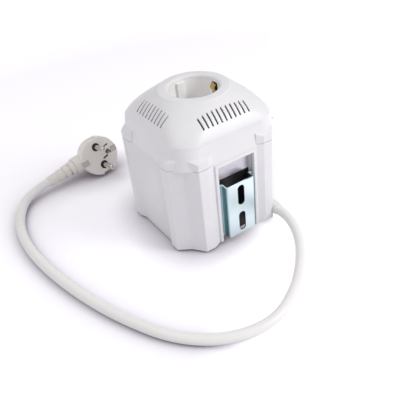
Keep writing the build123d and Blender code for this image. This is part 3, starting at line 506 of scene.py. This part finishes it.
pieces = {name: softenNode(name, look) for name, look in softEdges.items()}
print("edges softened:", len(pieces))

# Dark collars at the roots of the plug's pins: the roots in metres, the profile as radius and height
collar = {
    "way": (0.060008, -0.955131, 0.29004),
    "roots": [(-0.04354, 0.10871, 0.011593), (-0.04646, 0.11399, 0.029607)],
    "profile": [(2.05, 0.02), (3.9, 0.02), (3.95, 0.1), (3.8, 0.22), (2.3, 0.26), (2.05, 0.2)],
    "steps": 40,
}


def makePinCollars(spec):
    form = bmesh.new()
    turn = Vector(spec["way"]).to_track_quat("Z", "Y").to_matrix().to_4x4()
    for root in spec["roots"]:
        rows = []
        for k in range(spec["steps"]):
            angle = 2 * math.pi * k / spec["steps"]
            rows.append([form.verts.new(Matrix.Translation(root) @ turn @ Vector(
                (r * mm * math.cos(angle), r * mm * math.sin(angle), h * mm))) for r, h in spec["profile"]])
        for a, b in zip(rows, rows[1:] + rows[:1]):
            joinRings(form, a, b)
    return addForm("pinCollars", form, "carrier_plastic", smoothBelow=180)


pinCollars = makePinCollars(collar)

# Black sheet on the floor of the recess, under the plate and behind the rail, as painted shade where the rail's
# inside is dark, and the foil on the plate
shadeSheet = {"half": 15.6, "low": 2.4, "high": 56.2, "front": -41.76, "thick": 0.14, "corner": 1.0, "steps": 6}
plate = {"half": 15.7, "low": 56.4, "high": 69.4, "front": -41.95, "thick": 0.33, "corner": 0.8, "steps": 6}


def makePad(name, spec, slot):
    form = bmesh.new()
    middleZ = (spec["low"] + spec["high"]) / 2
    tall = (spec["high"] - spec["low"]) / 2
    ring = []
    for sx, sz, start in ((1, 1, 0), (-1, 1, 90), (-1, -1, 180), (1, -1, 270)):
        for k in range(spec["steps"] + 1):
            angle = math.radians(start + 90 * k / spec["steps"])
            ring.append((sx * (spec["half"] - spec["corner"]) + spec["corner"] * math.cos(angle),
                         middleZ + sz * (tall - spec["corner"]) + spec["corner"] * math.sin(angle)))
    closeRings(form, [[form.verts.new((x * mm, y * mm, z * mm)) for x, z in ring]
                      for y in (spec["front"], spec["front"] + spec["thick"])])
    return addForm(name, form, slot)


makePad("recessPad", shadeSheet, "bobbin_plastic")
plateFoil = makePad("plateFoil", plate, "plate_foil")
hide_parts("rating_plate")

# Low raised frame moulded round the two sides and the top of the recess, its front edges rounded
recessFrame = {
    "inner": 16.3, "outer": 18.9, "low": 2.4, "innerTop": 71.5, "top": 74.0, "back": -46.8, "front": -48.2,
    "radius": 0.45, "steps": 3, "before": -47.0,
    "sharp": 0.5,  # radians between two faces
}


def makeRecessFrame(spec):
    i, o, low = spec["inner"], spec["outer"], spec["low"]
    ring = [(-o, low), (-o, spec["top"]), (o, spec["top"]), (o, low),
            (i, low), (i, spec["innerTop"]), (-i, spec["innerTop"]), (-i, low)]
    form = bmesh.new()
    front, back = ([form.verts.new((x * mm, y * mm, z * mm)) for x, z in ring] for y in (spec["front"], spec["back"]))
    for a, b, c, d in ((0, 1, 6, 7), (1, 2, 5, 6), (2, 3, 4, 5)):
        form.faces.new([front[k] for k in (a, b, c, d)])
        form.faces.new([back[k] for k in (d, c, b, a)])
    joinRings(form, front, back)
    bmesh.ops.recalc_face_normals(form, faces=form.faces)
    rounded = [e for e in form.edges if e.calc_face_angle(0) > spec["sharp"]
               and all(v.co.y < spec["before"] * mm for v in e.verts)]
    bmesh.ops.bevel(form, geom=rounded, offset=spec["radius"] * mm, segments=spec["steps"], profile=0.5,
                    affect="EDGES")
    return addForm("recessFrame", form, "white_plastic", smoothBelow=40)


makeRecessFrame(recessFrame)

# Slots moulded round the earth contact in the plug's face, as dark inlays that paint the shade inside them: two ends,
# across and along, and half width
plugFace = {
    "middle": (-0.045, 0.11135, 0.0206),  # metres
    "out": (0.060008, -0.955131, 0.29004),
    "across": (-0.986365, -0.101345, -0.129664),
    "shadedSlots": [((-4.9, -5.8), (-11.3, -6.7), 0.55), ((-2.6, 4.0), (-6.8, 3.1), 0.75),
               ((-11.4, 0.1), (-11.2, 2.3), 0.5)],
    "heights": (0.12, -0.02),
    "steps": 8,
}


def makePlugSlotShade(spec):
    out, across = (Vector(spec[k]).normalized() for k in ("out", "across"))
    along = out.cross(across)
    form = bmesh.new()
    for a, b, half in spec["shadedSlots"]:
        a, b = Vector(a), Vector(b)
        way = (b - a).normalized()
        side = Vector((-way.y, way.x))
        ring = []
        for end, sign in ((b, 1), (a, -1)):
            for k in range(spec["steps"] + 1):
                angle = math.pi * (k / spec["steps"] - 0.5)
                ring.append(end + (way * math.cos(angle) + side * math.sin(angle)) * half * sign)
        closeRings(form, [[form.verts.new(Vector(spec["middle"]) + (across * p.x + along * p.y + out * h) * mm)
                           for p in ring] for h in spec["heights"]])
    return addForm("plugInlays", form, "carrier_plastic")


plugInlays = makePlugSlotShade(plugFace)


# Copies of one small piece on the points of a mesh, each turned a little
def buildPlaceCopies():
    group = bpy.data.node_groups.new("placeCopies", "GeometryNodeTree")
    face = group.interface
    face.new_socket(name="Geometry", in_out="INPUT", socket_type="NodeSocketGeometry")
    inputs = {}
    for label, kind in (("Piece", "NodeSocketObject"), ("Finish", "NodeSocketMaterial"), ("Seed", "NodeSocketInt"),
                        ("Turn", "NodeSocketFloat"), ("Smallest", "NodeSocketFloat")):
        inputs[label] = face.new_socket(name=label, in_out="INPUT", socket_type=kind).identifier
    face.new_socket(name="Geometry", in_out="OUTPUT", socket_type="NodeSocketGeometry")
    given = group.nodes.new("NodeGroupInput")
    put = group.nodes.new("NodeGroupOutput")
    piece = group.nodes.new("GeometryNodeObjectInfo")
    piece.inputs["As Instance"].default_value = True
    turn = group.nodes.new("FunctionNodeRandomValue")
    size = group.nodes.new("FunctionNodeRandomValue")
    size.inputs[3].default_value = 1.0
    about = group.nodes.new("ShaderNodeCombineXYZ")
    copies = group.nodes.new("GeometryNodeInstanceOnPoints")
    real = group.nodes.new("GeometryNodeRealizeInstances")
    finish = group.nodes.new("GeometryNodeSetMaterial")
    link = group.links.new
    link(given.outputs["Piece"], piece.inputs["Object"])
    link(given.outputs["Seed"], turn.inputs["Seed"])
    link(given.outputs["Turn"], turn.inputs[3])
    link(given.outputs["Seed"], size.inputs["Seed"])
    link(given.outputs["Smallest"], size.inputs[2])
    link(turn.outputs[1], about.inputs["Z"])
    link(given.outputs["Geometry"], copies.inputs["Points"])
    link(piece.outputs["Geometry"], copies.inputs["Instance"])
    link(about.outputs[0], copies.inputs["Rotation"])
    link(size.outputs[1], copies.inputs["Scale"])
    link(copies.outputs["Instances"], real.inputs["Geometry"])
    link(real.outputs["Geometry"], finish.inputs["Geometry"])
    link(given.outputs["Finish"], finish.inputs["Material"])
    link(finish.outputs["Geometry"], put.inputs["Geometry"])
    return group, inputs


copyGroup, copyInputs = buildPlaceCopies()


def makeCopies(name, spec):
    form = bmesh.new()
    spec["shape"](form, spec["sizes"])
    seedMesh = bpy.data.meshes.new(name + "One")
    form.to_mesh(seedMesh)
    form.free()
    one = bpy.data.objects.new(name + "One", seedMesh)
    dots = bpy.data.meshes.new(name + "Points")
    dots.from_pydata([tuple(c * mm for c in p) for p in spec["places"]], [], [])
    holder = addObject(name + "Holder", dots)
    grow = holder.modifiers.new("copies", "NODES")
    grow.node_group = copyGroup
    for label, value in (("Piece", one), ("Finish", materials[spec["slot"]]), ("Seed", spec["seed"]),
                         ("Turn", spec["turn"]), ("Smallest", spec["smallest"])):
        grow[copyInputs[label]] = value
    holder.update_tag()
    bpy.context.view_layer.update()
    made = bpy.data.meshes.new_from_object(holder.evaluated_get(bpy.context.evaluated_depsgraph_get()))
    holder.modifiers.clear()
    bpy.data.objects.remove(holder)
    bpy.data.objects.remove(one)
    made.name = name
    made.materials.clear()
    addPiece(name, made, spec["slot"])
    print(name, len(made.polygons), "faces")


# Solder joint on the back of the board, a small fillet round a cut lead: its profile as x and radius
solder = {"profile": [(0.05, 0.95), (-0.2, 0.62), (-0.55, 0.38), (-0.8, 0.3), (-0.9, 0.16)], "steps": 12}


def solderDot(form, spec):
    angles = [2 * math.pi * k / spec["steps"] for k in range(spec["steps"])]
    rows = [[form.verts.new((x * mm, r * mm * math.cos(angle), r * mm * math.sin(angle))) for angle in angles]
            for x, r in spec["profile"]]
    closeRings(form, rows[::-1])
    for face in form.faces:
        face.smooth = len(face.verts) == 4


# Cross in a screw head that looks down, two bars with tapered ends, dark as painted shade in its recess
cross = {"waist": 0.38, "reach": 1.7, "tip": 0.3, "heights": (0.02, -0.04)}


def crossShade(form, spec):
    ring = []
    for k in range(4):
        c, d = math.cos(k * math.pi / 2), math.sin(k * math.pi / 2)
        for x, y in ((spec["reach"], -spec["tip"]), (spec["reach"], spec["tip"]), (spec["waist"], spec["waist"])):
            ring.append(((x * c - y * d) * mm, (x * d + y * c) * mm))
    closeRings(form, [[form.verts.new((x, y, z * mm)) for x, y in ring] for z in spec["heights"]])


screwHeadRadius = 2.8
jointsPerRelay = ((-3.8, 2.5), (3.8, 2.5), (-6.0, 10.0), (6.0, 10.0), (0.0, 16.5))  # across, and up from its foot
relayCount = 3
screwBox, boardBox, relayBox = ([[c / mm for c in corner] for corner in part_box(name)]
                                for name in ("housing_screws", "circuit_board", "relays"))
crossX, crossY = ((screwBox[1][k] - screwBox[0][k]) / 2 - screwHeadRadius for k in (0, 1))
screwMiddleY = (screwBox[1][1] + screwBox[0][1]) / 2
relayRows = [relayBox[0][1] + (relayBox[1][1] - relayBox[0][1]) * (k + 0.5) / relayCount for k in range(relayCount)]
copies = {
    # Dark crosses as painted shade in the cross recesses of the screw heads
    "screwCrosses": {
        "shape": crossShade, "sizes": cross, "slot": "carrier_plastic", "seed": 4, "turn": 1.4, "smallest": 1.0,
        "places": [(sx * crossX, screwMiddleY + sy * crossY, screwBox[0][2]) for sx in (-1, 1) for sy in (-1, 1)]},
    "solderJoints": {
        "shape": solderDot, "sizes": solder, "slot": "screw_steel", "seed": 9, "turn": 0.0, "smallest": 0.85,
        "places": [(boardBox[0][0], y + dy, relayBox[0][2] + dz) for y in relayRows for dy, dz in jointsPerRelay]},
}
for name, spec in copies.items():
    makeCopies(name, spec)

# Dark sheet under the front and back rows of vents, bent along the dome: painted shade for the dark inside seen
# through the slots
shadeUnderVents = {
    "half": 22.0, "near": 42.0, "far": 32.6, "thick": 0.3, "columns": 22, "rows": 8, "middleY": 1.35,
    "edge": (45.8, 91.0), "rim": (28.2, 113.4), "power": 1.8,  # dome: half width and height at its foot and its rim
    "corner": (0.404, 0.995),  # dome: corner radius as a share of the half width, at its foot and its rim
    "inset": 1.1, "drop": 0.4, "halvings": 24,
}


# Height of the dome over a place, less the inset and the drop
def domeHeight(spec, x, y):
    low, high = 0.0, 1.0
    for _ in range(spec["halvings"]):
        t = (low + high) / 2
        bend = t ** spec["power"]
        half = spec["edge"][0] + (spec["rim"][0] - spec["edge"][0]) * bend - spec["inset"]
        radius = half * (spec["corner"][0] + (spec["corner"][1] - spec["corner"][0]) * bend)
        past = min(max(abs(x) - half + radius, 0.0), radius)
        if half - radius + math.sqrt(radius ** 2 - past ** 2) > y:
            low = t
        else:
            high = t
    return spec["edge"][1] + (spec["rim"][1] - spec["edge"][1]) * t - spec["drop"]


def makeShadeUnderVents(spec):
    form = bmesh.new()
    for sign in (-1, 1):
        grid = []
        for i in range(spec["columns"] + 1):
            x = spec["half"] * (2 * i / spec["columns"] - 1)
            line = []
            for k in range(spec["rows"] + 1):
                y = spec["near"] + (spec["far"] - spec["near"]) * k / spec["rows"]
                z = domeHeight(spec, x, y)
                line.append([form.verts.new((x * mm, (spec["middleY"] + sign * y) * mm, h * mm))
                             for h in (z, z - spec["thick"])])
            grid.append(line)
        for a, b in zip(grid, grid[1:]):
            for k in range(spec["rows"]):
                form.faces.new((a[k][0], b[k][0], b[k + 1][0], a[k + 1][0]))
                form.faces.new((a[k][1], a[k + 1][1], b[k + 1][1], b[k][1]))
            for k in (0, spec["rows"]):
                form.faces.new((a[k][0], a[k][1], b[k][1], b[k][0]))
        for line in (grid[0], grid[-1]):
            for p, q in zip(line, line[1:]):
                form.faces.new((p[0], q[0], q[1], p[1]))
    bmesh.ops.recalc_face_normals(form, faces=form.faces)
    addForm("ventGauze", form, "bobbin_plastic")


makeShadeUnderVents(shadeUnderVents)

# Dark strip curved between well and cover, behind the openings of the two earth clips: painted shade in the gap
clipShadeSpec = {"radius": 21.68, "thick": 0.12, "spread": 13.0, "low": 94.5, "high": 111.4, "middleY": 1.35, "steps": 10}


def makeClipShade(spec):
    form = bmesh.new()
    inner, outer = spec["radius"], spec["radius"] + spec["thick"]
    section = [(inner, spec["low"]), (inner, spec["high"]), (outer, spec["high"]), (outer, spec["low"])]
    for turn in (0, 180):
        rows = []
        for k in range(spec["steps"] + 1):
            angle = math.radians(turn + spec["spread"] * (2 * k / spec["steps"] - 1))
            rows.append([form.verts.new((r * mm * math.cos(angle), (r * math.sin(angle) + spec["middleY"]) * mm,
                                         z * mm)) for r, z in section])
        closeRings(form, rows)
    addForm("clipGaps", form, "carrier_plastic")


makeClipShade(clipShadeSpec)
print("fine pieces in place")


lead = {
    "points": [(37.6, -51.85, 9.0), (37.6, -62.65, 9.0), (34.5, -75.65, 5.6), (26.0, -90.15, 4.0),
               (11.0, -106.65, 4.0), (-10.0, -123.65, 4.0), (-39.0, -136.65, 4.0), (-72.0, -130.15, 4.0),
               (-100.0, -106.15, 4.0), (-119.0, -68.65, 4.0), (-131.0, -34.65, 4.0), (-140.0, 1.35, 4.0),
               (-145.0, 39.35, 4.0), (-143.0, 73.35, 4.0), (-133.0, 101.35, 4.0), (-117.94, 117.31, 7.06),
               (-97.23, 119.44, 9.78)],
    "diameter": 8.0,
    "length": 449.6,
    "order": 3,
    "stepsAlong": 12,
    "stepsRound": 8,
}


def makeLead(spec):
    data = bpy.data.curves.new("mainsLead", "CURVE")
    data.dimensions = "3D"
    data.bevel_depth = spec["diameter"] / 2 * mm
    data.bevel_resolution = spec["stepsRound"]
    data.resolution_u = spec["stepsAlong"]
    data.use_fill_caps = True
    spline = data.splines.new("NURBS")
    spline.points.add(len(spec["points"]) - 1)
    for point, place in zip(spline.points, spec["points"]):
        point.co = (*(c * mm for c in place), 1.0)
    spline.order_u = spec["order"]
    spline.use_endpoint_u = True
    obj = addPiece("mainsLead", data, "cord_sheath")
    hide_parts("mains_cord")


makeLead(lead)
print("lead laid")


# The paper glows to the camera, with painted light and shade in its glow and colour: a painted contact shadow where
# ambient occlusion finds the box near, and painted light towards the key light and further out, where it is burnt out
stage = {
    "size": 6.0, "floor": "F2F0F7", "glow": 0.29,
    "near": 0.03, "contact": "A9A0AC", "contactPower": 1.6, "samples": 12,
    "litSide": (0.7, -0.7, 0.0), "litGlow": 0.36,
    "litRamp": (22.0, 0.4), "farRamp": (2.2, 0.9),  # gain per metre and drop
}
lights = {
    "key": {"way": (0.62, -0.78, 0.6), "far": 1.3, "size": 0.6, "watts": 6.9},
    "fill": {"way": (-0.5, 0.05, 1.0), "far": 1.3, "size": 1.0, "watts": 3.0},
}
lightAim = (0, 0, 0.05)
worldLight = {"strength": 0.54, "seenStrength": 1.0, "color": (1.0, 0.99, 1.0)}


def makeStage(spec):
    mesh = bpy.data.meshes.new("floor")
    half = spec["size"] / 2
    mesh.from_pydata([(-half, -half, 0), (half, -half, 0), (half, half, 0), (-half, half, 0)], [], [(0, 1, 2, 3)])
    floor = addObject("floor", mesh)
    material = bpy.data.materials.new("floorPaper")
    material.use_nodes = True
    tree = material.node_tree
    tree.nodes.clear()
    out = tree.nodes.new("ShaderNodeOutputMaterial")
    paper = tree.nodes.new("ShaderNodeBsdfDiffuse")
    close = tree.nodes.new("ShaderNodeAmbientOcclusion")
    close.samples = spec["samples"]
    close.inputs["Distance"].default_value = spec["near"]
    spot = texCoord(tree)
    towardsKey = vectorNode(tree, "DOT_PRODUCT", spot, spec["litSide"]).outputs["Value"]
    away = vectorNode(tree, "LENGTH", spot).outputs["Value"]
    far = rampNode(tree, away, *spec["farRamp"])
    lit = mathNode(tree, "MAXIMUM", rampNode(tree, towardsKey, *spec["litRamp"]), far)
    # Painted contact shadow: the paper turns greyer where ambient occlusion finds the box near, but not on the side
    # towards the key light
    openness = mathNode(tree, "POWER", close.outputs["AO"], spec["contactPower"], True)
    openness = mathNode(tree, "MAXIMUM", openness, lit)
    color = blendColor(tree, openness, hexColor(spec["contact"]), hexColor(spec["floor"]))
    tree.links.new(color, paper.inputs["Color"])
    glow = tree.nodes.new("ShaderNodeEmission")
    glow.inputs["Color"].default_value = (1, 1, 1, 1)
    ray = tree.nodes.new("ShaderNodeLightPath")
    seen = mathNode(tree, "MAXIMUM", ray.outputs["Is Camera Ray"], ray.outputs["Is Glossy Ray"])
    seen = mathNode(tree, "MAXIMUM", seen, ray.outputs["Is Transmission Ray"])
    glowing = mathNode(tree, "ADD", mathNode(tree, "MULTIPLY", openness, spec["glow"]),
                       mathNode(tree, "MULTIPLY", lit, spec["litGlow"]))
    tree.links.new(mathNode(tree, "MULTIPLY", seen, glowing), glow.inputs["Strength"])
    both = tree.nodes.new("ShaderNodeAddShader")
    tree.links.new(paper.outputs[0], both.inputs[0])
    tree.links.new(glow.outputs[0], both.inputs[1])
    tree.links.new(both.outputs[0], out.inputs["Surface"])
    mesh.materials.append(material)


def makeLights(specs):
    for name, spec in specs.items():
        data = bpy.data.lights.new(name, "AREA")
        data.shape = "DISK"
        data.size = spec["size"]
        data.energy = spec["watts"]
        obj = addObject(name, data)
        way = Vector(spec["way"]).normalized()
        obj.location = Vector(lightAim) + way * spec["far"]
        obj.rotation_euler = way.to_track_quat("Z", "Y").to_euler()


def makeWorld(spec):
    world = bpy.data.worlds.new("studio")
    bpy.context.scene.world = world
    world.use_nodes = True
    tree = world.node_tree
    tree.nodes.clear()
    out = tree.nodes.new("ShaderNodeOutputWorld")
    back = tree.nodes.new("ShaderNodeBackground")
    back.inputs["Color"].default_value = (*spec["color"], 1)
    ray = tree.nodes.new("ShaderNodeLightPath")
    strength = between(tree, ray.outputs["Is Camera Ray"], spec["strength"], spec["seenStrength"])
    tree.links.new(strength, back.inputs["Strength"])
    tree.links.new(back.outputs[0], out.inputs["Surface"])


makeStage(stage)
makeLights(lights)
makeWorld(worldLight)
bpy.context.scene.view_settings.view_transform = "Standard"
print("stage and light set")
